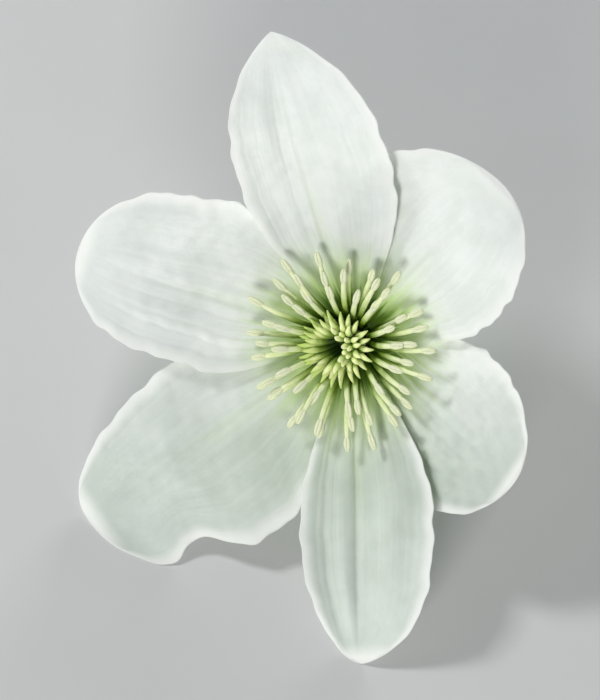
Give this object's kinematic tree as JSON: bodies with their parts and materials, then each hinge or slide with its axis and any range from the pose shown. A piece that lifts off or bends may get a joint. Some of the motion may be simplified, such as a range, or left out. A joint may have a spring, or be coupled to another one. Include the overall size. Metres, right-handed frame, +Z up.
{
  "type": "clematis flower",
  "caption": "Open white clematis flower as picked: broad tepals round pale green stamens and carpels, with its short cut stalk, lying face up and ready to scatter or arrange.",
  "frame": {"origin": "on the surface that the flower lies on, under the middle of its bounding box", "axes": "+Z up; the flower's face looks up and leans towards -Y; the cut stalk runs behind it towards +Y"},
  "size_m": [0.056, 0.0749, 0.0429],
  "materials": {
    "tepal": "soft white petal with a faint green base",
    "stamen": "matte pale lime green",
    "carpel": "soft lime green with paler tips",
    "stalk": "downy olive green turning brown"
  },
  "bodies": {
    "root": {"tepal_1": "tepal", "tepal_2": "tepal", "tepal_3": "tepal", "tepal_4": "tepal", "tepal_5": "tepal", "tepal_6": "tepal", "stamens": "stamen", "carpels": "carpel", "flower_stalk": "stalk"}
  },
  "joints": []
}
